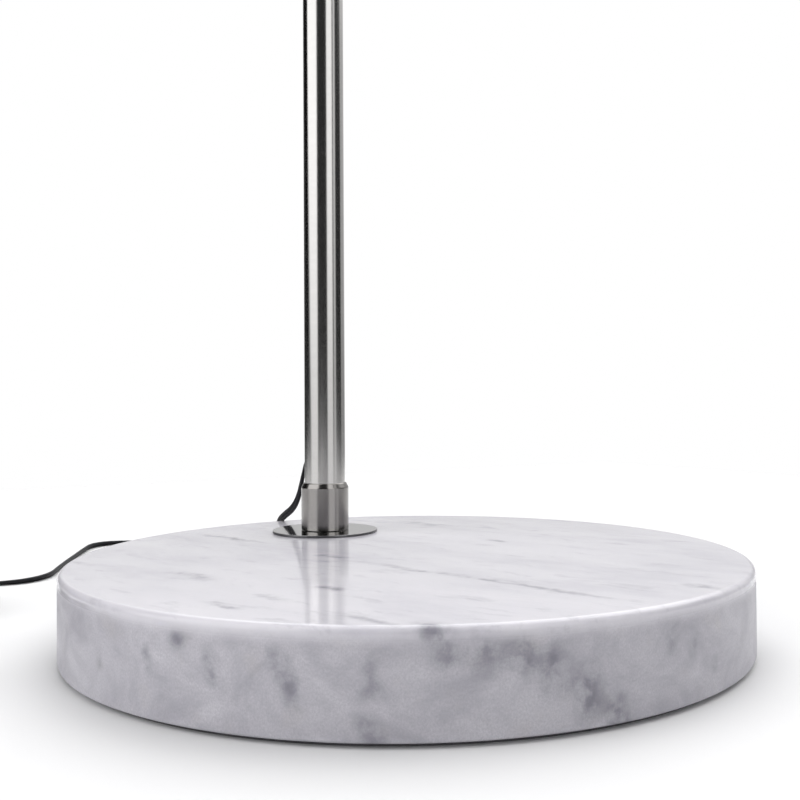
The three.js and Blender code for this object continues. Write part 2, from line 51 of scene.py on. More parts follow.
POLE_X = -104.0
POLE_RADIUS = 12.5
TUBE_BORE = 11.0
POLE_FOOT = 45.2
FERRULE_TOP = 74.2
POLE_SEAM = 622.0
POLE_TOP = 1200.0
BASE_RADIUS = 175.0
BASE_TOP = 43.4
BOLT_HOLE = 6.5
CORD_HOLE_Z = 92.0
SWIVEL_SCREW_Z = 1184.0
ARM_STRAIGHT = 50.0
ARM_RADIUS = 560.0
ARM_SWEEP = math.radians(125)
ARM_LENGTH = ARM_STRAIGHT + ARM_RADIUS * ARM_SWEEP
PIVOT_REACH = 30.0
SHADE_RADIUS = 150.0
SHADE_HEIGHT = 142.0
SHADE_WALL = 1.4
GAP = 0.3  # between the ends of two pole or arc tubes

SWITCH_CENTRE = (-209.0, -214.0)
COIL_CENTRE = (-118.0, -241.5)
COIL_TURNS = 6
PLUG_ANGLE = math.radians(-20)
PLUG_AXIS_Z = 6.9
CORD_THICKNESS = 2.4

# ---- camera

scene = bpy.context.scene
scene.view_settings.view_transform = "Standard"
scene.view_settings.look = "None"

CAMERA_PLACE = Vector((0.45072, -0.26285, 0.12152))
CAMERA_AZIMUTH = math.radians(58.25)
CAMERA_PITCH = math.radians(0.95)
CAMERA_ROLL = math.radians(-0.35)


def make_camera():
    """The camera stands low in front of the base and looks level across its top."""
    data = bpy.data.cameras.new("camera")
    data.lens = 44.04
    data.sensor_width = 36
    data.shift_x = -0.0428
    data.shift_y = -0.0139
    data.clip_start = 0.01
    camera = bpy.data.objects.new("camera", data)
    scene.collection.objects.link(camera)
    forward = Vector((
        -math.sin(CAMERA_AZIMUTH) * math.cos(CAMERA_PITCH),
        math.cos(CAMERA_AZIMUTH) * math.cos(CAMERA_PITCH),
        math.sin(CAMERA_PITCH),
    ))
    turn = forward.to_track_quat("-Z", "Y").to_matrix() @ Matrix.Rotation(CAMERA_ROLL, 3, "Z")
    camera.matrix_world = Matrix.Translation(CAMERA_PLACE) @ turn.to_4x4()
    scene.camera = camera


make_camera()

# ---- node helpers


class Tree:
    """A short way to write shader nodes. Most calls add one node and return an output socket."""

    def __init__(self, tree, owner):
        self.tree, self.owner = tree, owner
        tree.nodes.clear()

    def node(self, kind, settings=None, **inputs):
        made = self.tree.nodes.new("ShaderNode" + kind)
        for key, value in (settings or {}).items():
            setattr(made, key, value)
        for key, value in inputs.items():
            self.set(made, key.replace("_", " "), value)
        return made

    def set(self, made, name, value):
        socket = made.inputs[int(name)] if name.isdigit() else made.inputs[name]
        if isinstance(value, bpy.types.NodeSocket):
            self.tree.links.new(value, socket)
        elif isinstance(value, tuple) and len(value) == 3 and len(socket.default_value) == 4:
            socket.default_value = (*value, 1.0)
        else:
            socket.default_value = value

    def math(self, operation, a, b=0.0, c=0.0, clamp=False):
        made = self.node("Math", {"operation": operation, "use_clamp": clamp})
        for i, value in enumerate((a, b, c)):
            self.set(made, str(i), value)
        return made.outputs[0]

    def ramp(self, value, stops, smooth=False):
        """Maps a value through colour stops of (place, colour or grey)."""
        made = self.node("ValToRGB", Fac=value)
        bar = made.color_ramp
        bar.interpolation = "EASE" if smooth else "LINEAR"
        while len(bar.elements) < len(stops):
            bar.elements.new(1.0)
        for element, (place, colour) in zip(bar.elements, stops):
            element.position = place
            element.color = rgba(colour)
        return made.outputs["Color"]

    def noise(self, vector, scale, detail=4.0, roughness=0.5, distortion=0.0):
        made = self.node("TexNoise", Vector=vector, Scale=scale, Detail=detail, Roughness=roughness,
                         Distortion=distortion)
        return made.outputs["Fac"]

    def mix(self, factor, a, b, blend="MIX"):
        made = self.node("MixRGB", {"blend_type": blend}, Fac=factor, Color1=rgba(a), Color2=rgba(b))
        return made.outputs["Color"]

    def vector_math(self, operation, a, **inputs):
        """Vector math on a and the named inputs; _1 is the second vector. Returns both outputs."""
        made = self.node("VectorMath", {"operation": operation}, Vector=a)
        for key, value in inputs.items():
            self.set(made, key.strip("_"), value)
        return made.outputs

    def stretched(self, vector, x, y, z):
        return self.node("Mapping", Vector=vector, Scale=(x, y, z)).outputs["Vector"]

    def bump(self, height, strength, distance):
        return self.node("Bump", Height=height, Strength=strength, Distance=distance).outputs["Normal"]


def rgba(value):
    """A grey or a colour as the four numbers that a colour socket or stop holds. A socket stays as it is."""
    if isinstance(value, bpy.types.NodeSocket):
        return value
    return (value, value, value, 1.0) if isinstance(value, (int, float)) else (*value, 1.0)


def around(t, rise):
    """Coordinates that close up round a turned piece: its u becomes a circle, and its v is scaled by rise."""
    u, v, _ = t.node("SeparateXYZ", Vector=t.node("UVMap").outputs["UV"]).outputs
    angle = t.math("MULTIPLY", u, 2 * math.pi)
    x, y = t.math("COSINE", angle), t.math("SINE", angle)
    return t.node("CombineXYZ", X=x, Y=y, Z=t.math("MULTIPLY", v, rise)).outputs[0]


def new_material(name):
    """The node writer of a new material, and the socket of the place on the piece, in metres."""
    material = bpy.data.materials.new(name)
    material.use_nodes = True
    t = Tree(material.node_tree, material)
    return t, t.node("TexCoord").outputs["Object"]


def finished(t, **inputs):
    """Adds the shader and the output, and returns the material. Constants go on the shader's sockets."""
    t.node("OutputMaterial", Surface=t.node("BsdfPrincipled", **inputs).outputs["BSDF"])
    return t.owner


# ---- materials


def vein(t, u, v, middle, heading, length, width, wander):
    """A soft line on a plane given by two sockets, in metres; 1 on the line, 0 away from it."""
    dx, dy = math.cos(heading), math.sin(heading)

    def measured(a, b):
        offset = -(middle[0] * a + middle[1] * b)
        return t.math("MULTIPLY_ADD", u, a, t.math("MULTIPLY_ADD", v, b, offset))

    along, across = measured(dx, dy), t.math("ADD", measured(-dy, dx), wander)
    near = t.math("SUBTRACT", 1.0, t.math("DIVIDE", t.math("ABSOLUTE", across), 1.45 * width), clamp=True)
    near = t.math("MULTIPLY", t.math("MULTIPLY", near, near), t.math("MULTIPLY_ADD", near, -2.0, 3.0))
    inside = t.math("SUBTRACT", 0.5 * length, t.math("ABSOLUTE", along))
    return t.math("MULTIPLY", near, t.math("DIVIDE", inside, 0.3 * length, clamp=True))


BEDDING = math.radians(17)  # heading of the streaks and veins in the marble's top
SIDE_LEAN = math.radians(-75)  # heading of the spots on its side, nearly upright

# Veins of its top, given in round numbers: middle, length, half width (mm) and strength.
TOP_VEINS = [
    ((85, -15), 190, 3, 0.40), ((-105, -60), 70, 3, 0.50), ((-10, -40), 25, 4, 0.42),
    ((70, -80), 20, 4, 0.40), ((135, -95), 35, 3, 0.34), ((80, -130), 25, 3, 0.38),
    ((75, -110), 25, 4, 0.30), ((5, -120), 40, 6, 0.34), ((-60, -155), 25, 3, 0.30),
    ((160, -80), 35, 6, 0.50), ((155, 55), 25, 4, 0.34), ((-10, 65), 20, 3, 0.36),
    ((-100, 70), 55, 7, 0.26),
]
# Spots on its side: middle as (degrees round the base, millimetres up), length, half width and strength.
SIDE_SPOTS = [
    ((-75, 20), 10, 3, 0.34), ((-65, 25), 15, 3, 0.36), ((-60, 35), 10, 5, 0.55), ((-55, 25), 20, 4, 0.45),
    ((-45, 25), 30, 5, 0.50), ((-35, 25), 20, 4, 0.36), ((-35, 5), 20, 5, 0.45), ((5, 30), 20, 5, 0.26),
    ((10, 25), 10, 3, 0.40), ((15, 15), 10, 3, 0.40),
]
CLOUD_SPOTS = 6  # in the dark cloud on its side


def cloud_spots():
    """A chain of spots that falls ever more steeply from the top edge to the floor."""
    for i in range(CLOUD_SPOTS):
        share = i / (CLOUD_SPOTS - 1)
        yield (-26 + 22 * share, 37 - 33 * share ** 2), 26, 7.0, 0.45 + 0.15 * share


def drawn_veins(t, u, v, veins, across, heading, wander, broken, colour):
    """Adds the listed veins to a colour, all on one heading and broken up by a mask.

    across holds how many metres one unit of a vein's place is, each way.
    """
    for middle, length, width, strength in veins:
        place = [scale * value for scale, value in zip(across, middle)]
        mask = vein(t, u, v, place, heading, length * MM, width * MM, wander)
        mask = t.math("MULTIPLY", mask, strength)
        colour = t.mix(t.math("MULTIPLY", mask, broken), colour, (0.16, 0.16, 0.19))
    return colour


def marble_material():
    """White marble with a lavender cast: polished on top and round its edge, honed down its side."""
    t, place = new_material("marble_base")
    x, y, z = t.node("SeparateXYZ", Vector=place).outputs
    swirl = t.node("TexNoise", Vector=place, Scale=14.0, Detail=4.0).outputs["Color"]
    small = t.vector_math("SCALE", swirl, Scale=0.03)["Vector"]
    moved = t.vector_math("ADD", place, _1=small)["Vector"]
    wander = t.math("MULTIPLY", t.math("SUBTRACT", t.noise(place, 34.0, 5.0, 0.65), 0.5), 0.016)
    broken = t.ramp(t.noise(place, 120.0, 4.0, 0.55), [(0.36, 0.40), (0.62, 1.50)], smooth=True)

    bedding = t.node("Mapping", Vector=moved, Rotation=(0.0, 0.0, -BEDDING)).outputs["Vector"]
    cloud = t.noise(t.stretched(bedding, 9, 24, 20), 1.0, 7.0, 0.62)
    # The top's colours are lighter than the side's, though it is the same marble: painted light on the top.
    top = t.ramp(cloud, [
        (0.30, (0.55, 0.545, 0.58)), (0.48, (0.65, 0.645, 0.67)), (0.66, (0.70, 0.695, 0.715)),
    ])
    streak = t.noise(t.stretched(bedding, 34, 110, 90), 1.0, 5.0, 0.65)
    top = t.mix(t.ramp(streak, [(0.56, 0.0), (0.74, 0.55)]), top, (0.38, 0.375, 0.41))
    top = drawn_veins(t, x, y, TOP_VEINS, (MM, MM), BEDDING, wander, broken, top)

    angle = t.math("ARCTAN2", y, x)
    arc = t.math("MULTIPLY", angle, BASE_RADIUS * MM)
    round_place = t.node("CombineXYZ", X=arc, Y=z, Z=0.0).outputs[0]
    blot = t.noise(t.stretched(round_place, 36, 52, 1), 1.0, 8.0, 0.68, 0.5)
    # The side's colours are darker than the top's: painted shade down the side, which gets less light.
    side = t.ramp(blot, [
        (0.32, (0.36, 0.355, 0.385)), (0.50, (0.48, 0.475, 0.50)), (0.66, (0.58, 0.575, 0.595)),
    ])
    warm = t.noise(round_place, 46.0, 3.0, 0.5)
    side = t.mix(t.ramp(warm, [(0.58, 0.0), (0.78, 0.30)]), side, (0.50, 0.47, 0.42))
    fine = t.ramp(t.noise(t.stretched(round_place, 1300, 1000, 1), 1.0, 4.0, 0.7), [(0.35, 0.0), (0.65, 0.5)])
    side = t.mix(fine, side, (0.31, 0.31, 0.34))
    per_degree = BASE_RADIUS * MM * math.pi / 180
    for spots in (SIDE_SPOTS, cloud_spots()):
        side = drawn_veins(t, arc, z, spots, (per_degree, MM), SIDE_LEAN, wander, broken, side)

    height = t.math("DIVIDE", z, BASE_TOP * MM)
    # on_side blends the top's colours into the side's darker colours, which carry painted shade.
    on_side = t.ramp(height, [(0.80, 1.0), (0.985, 0.0)], smooth=True)
    honed = t.ramp(height, [(0.84, 1.0), (0.93, 0.0)], smooth=True)
    colour = t.mix(1.0, t.mix(on_side, top, side), (1.0, 0.985, 1.02), "MULTIPLY")
    rough = t.math("MULTIPLY_ADD", honed, 0.30, 0.085)
    rough = t.math("MULTIPLY_ADD", t.noise(place, 60.0, 3.0), 0.04, rough)
    pits = t.ramp(t.noise(place, 700.0, 4.0, 0.7), [(0.25, 0.0), (0.42, 1.0)])
    normal = t.bump(pits, 0.12, 0.0003)
    return finished(t, Normal=normal, Base_Color=colour, Roughness=rough, IOR=1.52, Subsurface_Weight=0.05,
                    Subsurface_Radius=(0.004, 0.004, 0.005), Subsurface_Scale=1.0)


def brushed_material(name, colour, roughness, dark=0.75, anisotropy=0.6):
    """Brushed metal whose fine lines run round a turned or drawn piece, along its u direction."""
    t, place = new_material(name)
    lines = t.noise(around(t, 5000.0), 1.0, 4.0, 0.7)
    broad = t.noise(around(t, 260.0), 1.0, 3.0, 0.6)
    smear = t.noise(place, 30.0, 4.0, 0.6)
    shade = tuple(dark * c for c in colour)
    tint = t.mix(t.math("MULTIPLY_ADD", lines, 0.5, t.math("MULTIPLY", broad, 0.35)), colour, shade)
    rough = t.math("MULTIPLY_ADD", lines, 0.05, roughness)
    rough = t.math("MULTIPLY_ADD", smear, 0.04, rough)
    normal = t.bump(lines, 0.06, 0.00004)
    tangent = t.node("Tangent", {"direction_type": "UV_MAP"}).outputs[0]
    return finished(t, Normal=normal, Base_Color=tint, Metallic=1.0, Roughness=rough, Anisotropic=anisotropy,
                    Anisotropic_Rotation=0.25, Tangent=tangent)


def polished_material(name, colour, roughness):
    t, place = new_material(name)
    scratch = t.noise(t.stretched(place, 60, 900, 60), 1.0, 5.0, 0.7)
    cloud = t.noise(place, 45.0, 4.0)
    tint = t.mix(t.math("MULTIPLY", cloud, 0.4), colour, tuple(0.8 * c for c in colour))
    rough = t.math("MULTIPLY_ADD", scratch, 0.08, roughness)
    normal = t.bump(scratch, 0.03, 0.00005)
    return finished(t, Normal=normal, Base_Color=tint, Metallic=1.0, Roughness=rough)


def clouded(t, place, scale, dark, light, change, roughness, grain=0.5):
    """A colour and a roughness that drift together with one soft noise."""
    cloud = t.noise(place, scale, 4.0, grain)
    return t.mix(cloud, dark, light), t.math("MULTIPLY_ADD", cloud, change, roughness)


def zinc_material():
    t, place = new_material("zinc_steel")
    flake = t.node("TexVoronoi", Vector=place, Scale=420.0).outputs["Color"]
    drift, rough = clouded(t, place, 90.0, (0.44, 0.45, 0.45), (0.62, 0.62, 0.60), 0.2, 0.3)
    tint = t.mix(0.18, drift, flake, "SOFT_LIGHT")
    normal = t.bump(t.noise(place, 1500.0, 3.0), 0.15, 0.0001)
    return finished(t, Normal=normal, Base_Color=tint, Metallic=1.0, Roughness=rough)


def moulded_material(name, colour, roughness, grain_scale, grain_depth, specular=0.5):
    """Moulded plastic or rubber: fine grain, slight unevenness in colour and gloss."""
    t, place = new_material(name)
    light = tuple(min(1.0, 1.7 * c + 0.004) for c in colour)
    tint, rough = clouded(t, place, 55.0, colour, light, 0.14, roughness, 0.6)
    cells = t.node("TexVoronoi", {"feature": "SMOOTH_F1"}, Vector=place, Scale=grain_scale)
    normal = t.bump(cells.outputs["Distance"], 0.3, grain_depth)
    return finished(t, Normal=normal, Base_Color=tint, Roughness=rough, IOR=1.5, Specular_IOR_Level=specular)


def felt_material():
    t, place = new_material("felt")
    fibre = t.noise(t.stretched(place, 900, 900, 300), 1.0, 6.0, 0.7, 1.5)
    cloud = t.noise(place, 80.0, 4.0)
    tint = t.mix(fibre, t.mix(cloud, (0.045, 0.045, 0.048), (0.07, 0.07, 0.075)), (0.14, 0.14, 0.15))
    normal = t.bump(fibre, 0.7, 0.0006)
    return finished(t, Normal=normal, Base_Color=tint, Roughness=0.95, Sheen_Weight=0.3, Sheen_Roughness=0.5)


def enamel_material():
    """The white paint inside the shade, with a faint orange-peel surface."""
    t, place = new_material("white_enamel")
    tint, rough = clouded(t, place, 25.0, (0.84, 0.835, 0.81), (0.90, 0.895, 0.88), 0.1, 0.32)
    normal = t.bump(t.noise(place, 260.0, 3.0, 0.4), 0.12, 0.0004)
    return finished(t, Normal=normal, Base_Color=tint, Roughness=rough, IOR=1.48)


def opal_material():
    t, place = new_material("opal_glass")
    tint, rough = clouded(t, place, 40.0, (0.88, 0.87, 0.83), (0.95, 0.945, 0.92), 0.06, 0.16)
    normal = t.bump(t.noise(place, 120.0, 2.0), 0.03, 0.0002)
    return finished(t, Normal=normal, Base_Color=tint, Roughness=rough, IOR=1.5, Subsurface_Weight=0.35,
                    Subsurface_Radius=(0.006, 0.006, 0.005), Subsurface_Scale=1.0)


def floor_material():
    t, place = new_material("floor")
    cloud = t.noise(place, 2.0, 3.0)
    tint = t.mix(cloud, (0.785, 0.785, 0.79), (0.805, 0.805, 0.81))
    return finished(t, Base_Color=tint, Roughness=0.7, Specular_IOR_Level=0.2)


NICKEL = (0.60, 0.59, 0.58)
MATERIAL = {
    "marble": marble_material(),
    "nickel": brushed_material("brushed_nickel", NICKEL, 0.14, anisotropy=0.45),
    # The pole's brushed nickel made much darker: painted shade on the ferrule and the sleeves.
    "shaded_ferrule_nickel": brushed_material("shaded_ferrule_nickel", (0.33, 0.318, 0.308), 0.16, anisotropy=0.35),
    "spun": brushed_material("spun_nickel", NICKEL, 0.20),
    "polished": polished_material("polished_steel", (0.76, 0.755, 0.76), 0.04),
    "mirror": polished_material("plate_mirror", (0.56, 0.555, 0.56), 0.04),
    # The plate's edge is painted near black: painted shade on the edge of the polished steel plate.
    "shaded_plate_edge": polished_material("plate_edge", (0.15, 0.15, 0.155), 0.30),
    "zinc": zinc_material(),
    "brass": polished_material("brass", (0.72, 0.53, 0.25), 0.22),
    "felt": felt_material(),
    "rubber": moulded_material("black_rubber", (0.012, 0.012, 0.014), 0.55, 1800.0, 0.0001),
    "flex": moulded_material("black_flex", (0.006, 0.006, 0.008), 0.44, 900.0, 0.00008, 0.2),
    "plastic": moulded_material("black_plastic", (0.009, 0.009, 0.010), 0.40, 2400.0, 0.00012, 0.3),
    "enamel": enamel_material(),
    "opal": opal_material(),
    "floor": floor_material(),
}

# ---- mesh helpers


def add_mesh(name, vertices, faces, looks, uvs=None, sharp=35):
    """A smooth-shaded mesh from points in millimetres. uvs holds one (u, v) for each face corner."""
    mesh = bpy.data.meshes.new(name)
    mesh.from_pydata([[MM * c for c in v] for v in vertices], [], faces)
    if uvs is not None:
        layer = mesh.uv_layers.new(name="UVMap")
        layer.data.foreach_set("uv", [c for uv in uvs for c in uv])
    for look in looks:
        mesh.materials.append(MATERIAL[look])
    mesh.validate()
    mesh.polygons.foreach_set("use_smooth", [True] * len(mesh.polygons))
    mesh.set_sharp_from_angle(angle=math.radians(sharp))
    piece = bpy.data.objects.new(name, mesh)
    scene.collection.objects.link(piece)
    return piece


ON_AXIS = 1e-6  # a point of a profile with a smaller radius is on the axis


def rounded(profile, radius, steps=4):
    """The profile with each corner replaced by a small arc. Points on the axis stay sharp."""
    points = [Vector(p) for p in profile]
    count = len(points)
    out = []
    for i, point in enumerate(points):
        before, after = points[i - 1] - point, points[(i + 1) % count] - point
        reach = min(radius, 0.45 * before.length, 0.45 * after.length)
        if point.x < ON_AXIS or reach < 0.02 or before.angle(after) > math.radians(172):
            out.append(tuple(point))
            continue
        a, b = point + before.normalized() * reach, point + after.normalized() * reach
        for k in range(steps + 1):
            s = k / steps
            out.append(tuple(a * (1 - s) ** 2 + point * (2 * s * (1 - s)) + b * s * s))
    return out


def turned(name, profile, looks, sides=96, frame_of=None, radius=0.3, face_material=None):
    """Turns a profile of (radius, height) points about an axis. It is open if it starts on the axis.

    frame_of(point) moves the turned points into place. face_material(a, b) picks an edge's material.
    """
    line = rounded(profile, radius)
    count = len(line)
    edges = count if line[0][0] > ON_AXIS else count - 1
    run = [0.0]
    for i in range(edges):
        a, b = line[i], line[(i + 1) % count]
        run.append(run[-1] + math.hypot(b[0] - a[0], b[1] - a[1]))
    vertices, index = [], {}
    for i, (r, h) in enumerate(line):
        for k in range(sides if r > ON_AXIS else 1):
            angle = 2 * math.pi * k / sides
            index[i, k] = len(vertices)
            vertices.append((r * math.cos(angle), r * math.sin(angle), h))
    faces, uvs, picks = [], [], []
    for i in range(edges):
        j = (i + 1) % count
        ends = {False: (i, run[i]), True: (j, run[i + 1])}
        for k in range(sides):
            face = []
            for far, step, again in ((False, 0, False), (False, 1, True), (True, 1, False), (True, 0, True)):
                row, v = ends[far]
                on_axis = line[row][0] <= ON_AXIS
                if on_axis and again:
                    continue
                face.append(index[row, 0 if on_axis else (k + step) % sides])
                uvs.append(((k + step) / sides, MM * v))
            faces.append(face)
            picks.append(face_material(line[i], line[j]) if face_material else 0)
    if frame_of:
        vertices = [frame_of(v) for v in vertices]
    piece = add_mesh(name, vertices, faces, looks, uvs)
    if face_material:
        piece.data.polygons.foreach_set("material_index", picks)
    outward(piece)
    return piece


def outward(piece):
    """Makes all faces point out of the solid."""
    work = bmesh.new()
    work.from_mesh(piece.data)
    bmesh.ops.recalc_face_normals(work, faces=work.faces)
    work.to_mesh(piece.data)
    work.free()


def lofted(name, rings, looks, closed, sharp=35):
    """A skin over rings of equal count: closed like a ring tube, or open with both ends capped."""
    count = len(rings[0])
    vertices = [v for ring in rings for v in ring]
    faces = []
    for i in range(len(rings) if closed else len(rings) - 1):
        j = (i + 1) % len(rings)
        for k in range(count):
            n = (k + 1) % count
            faces.append((i * count + k, i * count + n, j * count + n, j * count + k))
    if not closed:
        last = (len(rings) - 1) * count
        faces += [tuple(range(count))[::-1], tuple(range(last, last + count))]
    piece = add_mesh(name, vertices, faces, looks, sharp=sharp)
    outward(piece)
    return piece


def extended(points):
    """The points with one more beyond each end, as a spline needs."""
    line = [Vector(p) for p in points]
    return [line[0] * 2 - line[1], *line, line[-1] * 2 - line[-2]]


def sleeve_profile(inner, outer, bottom, top):
    return [(inner, bottom), (outer, bottom), (outer, top), (inner, top)]


def shifted(x, y, z):
    return lambda p: (p[0] + x, p[1] + y, p[2] + z)


ON_POLE = shifted(POLE_X, 0, 0)


def along_y(x, y, z):
    """Lays a turned shape down so that its axis points along +Y, at a point."""
    return lambda p: (p[0] + x, p[2] + y, -p[1] + z)


def along_minus_x(x, y, z):
    return lambda p: (-p[2] + x, p[1] + y, p[0] + z)


def arm_point(along):
    """A point of the arm's centreline and its direction, from the pole's top on."""
    if along <= ARM_STRAIGHT:
        return Vector((POLE_X, 0, POLE_TOP + along)), Vector((0, 0, 1))
    angle = min((along - ARM_STRAIGHT) / ARM_RADIUS, ARM_SWEEP)
    beyond = max(along - ARM_LENGTH, 0.0)
    ahead = Vector((math.sin(angle), 0, math.cos(angle)))
    x = POLE_X + ARM_RADIUS * (1 - math.cos(angle))
    z = POLE_TOP + ARM_STRAIGHT + ARM_RADIUS * math.sin(angle)
    return Vector((x, 0, z)) + beyond * ahead, ahead


def on_arm(origin):
    """Places a turned shape with its axis along the arm, its own height 0 at that distance along."""
    base, ahead = arm_point(origin)
    side = Vector((ahead.z, 0, -ahead.x))
    return lambda p: tuple(base + p[0] * side + Vector((0, p[1], 0)) + p[2] * ahead)


PIVOT = arm_point(ARM_LENGTH + PIVOT_REACH)[0]
AT_PIVOT = along_y(PIVOT.x, 0, PIVOT.z)


def swept_tube(name, start, end, looks, sides=64, steps=60):
    """A hollow tube along the arm, bent by taking each ring of a straight tube to its place."""
    line = rounded(sleeve_profile(TUBE_BORE, POLE_RADIUS, start, end), 0.4, 3)
    rows = []
    for i, (r, h) in enumerate(line):
        r2, h2 = line[(i + 1) % len(line)]
        parts = steps if abs(h2 - h) > 50 else 1
        rows += [(r + (r2 - r) * k / parts, h + (h2 - h) * k / parts) for k in range(parts)]

    def bend(p):
        return on_arm(p[2])((p[0], p[1], 0))

    return turned(name, rows, looks, sides, bend, radius=0.0)


def combined(piece, operation, *tools):
    """Joins tools to a piece or cuts them out of it, and applies the result."""
    for tool in tools:
        modifier = piece.modifiers.new("shape", "BOOLEAN")
        modifier.object = tool
        modifier.operation = operation
        modifier.solver = "EXACT"
        depsgraph = bpy.context.evaluated_depsgraph_get()
        mesh = bpy.data.meshes.new_from_object(piece.evaluated_get(depsgraph))
        piece.modifiers.clear()
        piece.data = mesh
        bpy.data.objects.remove(tool)
    piece.data.polygons.foreach_set("use_smooth", [True] * len(piece.data.polygons))
    piece.data.set_sharp_from_angle(angle=math.radians(35))
    return piece


def cut(piece, *tools):
    return combined(piece, "DIFFERENCE", *tools)


def rod(radius, bottom, top, frame_of=None, look="zinc", sides=48):
    profile = [(0, bottom), (radius, bottom), (radius, top), (0, top)]
    return turned("tool", profile, [look], sides, frame_of, 0.0)


def install(piece, body, slot, *nodes, flat=True):
    """Puts a piece on its body in place of CAD nodes, which it hides. The slot argument is not used.

    flat keeps its flat faces flat beside their rounded edges.
    """
    if flat:
        modifier = piece.modifiers.new("weighted", "WEIGHTED_NORMAL")
        modifier.keep_sharp = True
    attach(piece, body)
    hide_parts(*nodes)
    return piece


# ---- the base


def make_base():
    foot = 1.8
    fillet = 3.0
    arc = [math.radians(90 * k / 16) for k in range(17)]
    corner = [(BASE_RADIUS - fillet * (1 - math.cos(a)), BASE_TOP - fillet * (1 - math.sin(a))) for a in arc]
    profile = [
        (0, foot), (BASE_RADIUS - 1.4, foot), (BASE_RADIUS - 0.4, foot + 0.5), (BASE_RADIUS, foot + 1.4),
        *corner,
        (BASE_RADIUS - fillet - 2, BASE_TOP), (POLE_X + BASE_RADIUS, BASE_TOP), (0, BASE_TOP),
    ]
    slab = turned("base_marble", profile, ["marble"], 288, radius=0.0)
    cut(slab, rod(BOLT_HOLE, -1, 50, ON_POLE, "marble"), rod(23, -1, 19, ON_POLE, "marble"))
    install(slab, "stand", "marble", "marble_base")

    pad = turned("base_felt", [(0, 0), (171, 0), (171, 1.5), (0, 1.5)], ["felt"], 192)
    cut(pad, rod(24, -1, 3, ON_POLE, "felt"))
    install(pad, "stand", "felt", "felt_pad")

    plate_radius = 32.25
    profile = sleeve_profile(BOLT_HOLE, plate_radius, 43.7, 44.9)
    # The plate's edge takes the near-black finish of painted shade.
    looks = ["mirror", "shaded_plate_edge"]
    plate = turned("base_plate", profile, looks, 160, ON_POLE, 0.15,
                   lambda a, b: int(min(a[0], b[0]) > plate_radius - 0.08))
    install(plate, "stand", "polished_steel", "cover_plate")


# ---- the pole


def shouldered(name, bottom, top):
    """A turned sleeve with a sloping shoulder and a broken top edge."""
    profile = [
        (12.8, bottom), (14.6, bottom), (14.6, top - 3.2), (13.3, top - 0.5), (12.8, top - 0.2),
    ]
    return turned(name, profile, ["shaded_ferrule_nickel"], 128, ON_POLE, 0.25)


def pole_tube(name, bottom, top):
    profile = sleeve_profile(TUBE_BORE, POLE_RADIUS, bottom, top)
    return turned(name, profile, ["nickel"], 128, ON_POLE, 0.35)


def knurled(least_radius, near, far, depth, count, pitch=None):
    """A ripple in the radius between two heights: the grips of a knob or, with a pitch, a thread."""
    def shape(p):
        r = math.hypot(p[0], p[1])
        if r < least_radius or not near < p[2] < far:
            return p
        phase = count * math.atan2(p[1], p[0]) + (2 * math.pi * p[2] / pitch if pitch else 0.0)
        k = 1 - depth * (0.5 - 0.5 * math.cos(phase)) / r
        return (p[0] * k, p[1] * k, p[2])
    return shape


def make_pole():
    install(shouldered("pole_ferrule", POLE_FOOT, FERRULE_TOP), "stand", "brushed_nickel", "ferrule")
    lower = pole_tube("pole_tube_lower", POLE_FOOT, POLE_SEAM)
    at_hole = along_minus_x(POLE_X, 0, CORD_HOLE_Z)
    cut(lower, rod(4.2, 6, 16, at_hole, "nickel"))
    install(lower, "stand", "brushed_nickel", "pole_lower")

    profile = [(2.8, 10.4), (3.9, 10.4), (3.9, 12.8), (5.6, 12.8), (5.6, 13.7), (4.6, 14.4), (2.8, 14.4)]
    grommet = turned("pole_grommet", profile, ["rubber"], 48, at_hole, 0.4)
    install(grommet, "stand", "black_rubber", "cord_grommet")

    upper = pole_tube("pole_tube_upper", POLE_SEAM + GAP, POLE_TOP)
    at_screw = along_minus_x(POLE_X, 0, SWIVEL_SCREW_Z)
    cut(upper, rod(3, 6, 20, at_screw, "nickel"))
    install(upper, "stand", "brushed_nickel", "pole_upper")
    collar = shouldered("swivel_sleeve", 1170, 1198)
    cut(collar, rod(3, 6, 20, at_screw, "nickel"))
    install(collar, "stand", "brushed_nickel", "swivel_collar")

    grip = knurled(8.0, 17.6, 26.4, 0.5, 30)
    profile = [(0, 10.8), (2.4, 10.8), (2.4, 17), (7.6, 17), (8.5, 17.9), (8.5, 26.1), (7.6, 27), (0, 27)]
    screw = turned("swivel_screw", profile, ["spun"], 240, lambda p: at_screw(grip(p)), 0.3)
    install(screw, "clamp_screw", "brushed_nickel", "clamp_screw")


# ---- the arc


def add_cheek(piece, side):
    """Adds the round cheek of one half of the shade's swivel, on side +1 or -1 of the middle plane."""
    low, high = sorted((0.2 * side, 8 * side))
    cheek = turned("cheek", [(0, low), (11, low), (11, high), (0, high)], ["spun"], 96, AT_PIVOT, 0.6)
    combined(piece, "UNION", cheek)
    low, high = sorted((-14 * side, 0.2 * side))
    cut(piece, rod(11.8, low, high, AT_PIVOT, "spun"), rod(3.4, -20, 20, AT_PIVOT, "spun"))


